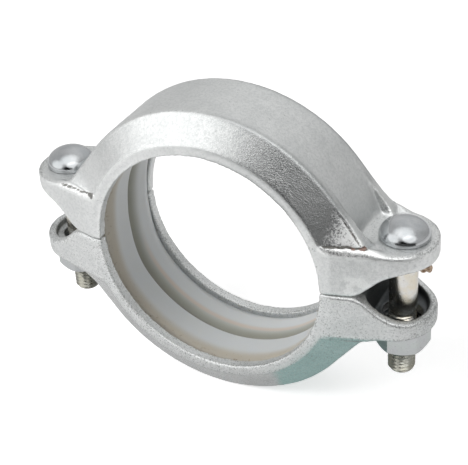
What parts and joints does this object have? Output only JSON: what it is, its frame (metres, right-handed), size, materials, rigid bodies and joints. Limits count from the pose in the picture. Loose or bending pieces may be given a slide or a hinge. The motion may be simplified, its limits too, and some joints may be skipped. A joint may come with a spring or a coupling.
{
  "type": "flexible pipe coupling",
  "caption": "Galvanised two-bolt grooved pipe coupling: cast half housings with bolt lugs close round a C-section rubber ring.",
  "frame": {"origin": "centre of the pipe bore, midway between the two faces, on the plane where the halves meet", "axes": "+Y along the pipe, +X across the two bolts, +Z along the bolts towards their heads"},
  "size_m": [0.2002, 0.0508, 0.1464],
  "materials": {
    "galvanised_casting": "hot-dip galvanised, grainy satin with bright smooth shoulders",
    "silicone_rubber": "smooth translucent white",
    "zinc_plated_bolt": "bright zinc plate, polished head",
    "zinc_plated_nut": "bright zinc plate"
  },
  "bodies": {
    "lower_half": {"housing_lower": "galvanised_casting", "gasket": "silicone_rubber"},
    "upper_half": {"housing_upper": "galvanised_casting", "bolt_left": "zinc_plated_bolt", "bolt_right": "zinc_plated_bolt"},
    "left_nut": {"nut_left": "zinc_plated_nut"},
    "right_nut": {"nut_right": "zinc_plated_nut"}
  },
  "joints": [
    {"name": "housing_lift", "type": "slide", "parent": "lower_half", "child": "upper_half", "axis": [0, 0, 1], "range_m": [0, 0.0156]},
    {"name": "nut_right_spin", "type": "hinge", "parent": "lower_half", "child": "right_nut", "pos_m": [0.085, 0, -0.02835], "axis": [0, 0, -1], "range_deg": [0, 2880]},
    {"name": "nut_left_spin", "type": "hinge", "parent": "lower_half", "child": "left_nut", "pos_m": [-0.085, 0, -0.02835], "axis": [0, 0, -1], "range_deg": [0, 2880]}
  ],
  "couplings": [
    {"joint": "nut_right_spin", "follows": "housing_lift", "rad_per_m": 3215.9},
    {"joint": "nut_left_spin", "follows": "housing_lift", "rad_per_m": 3215.9}
  ]
}
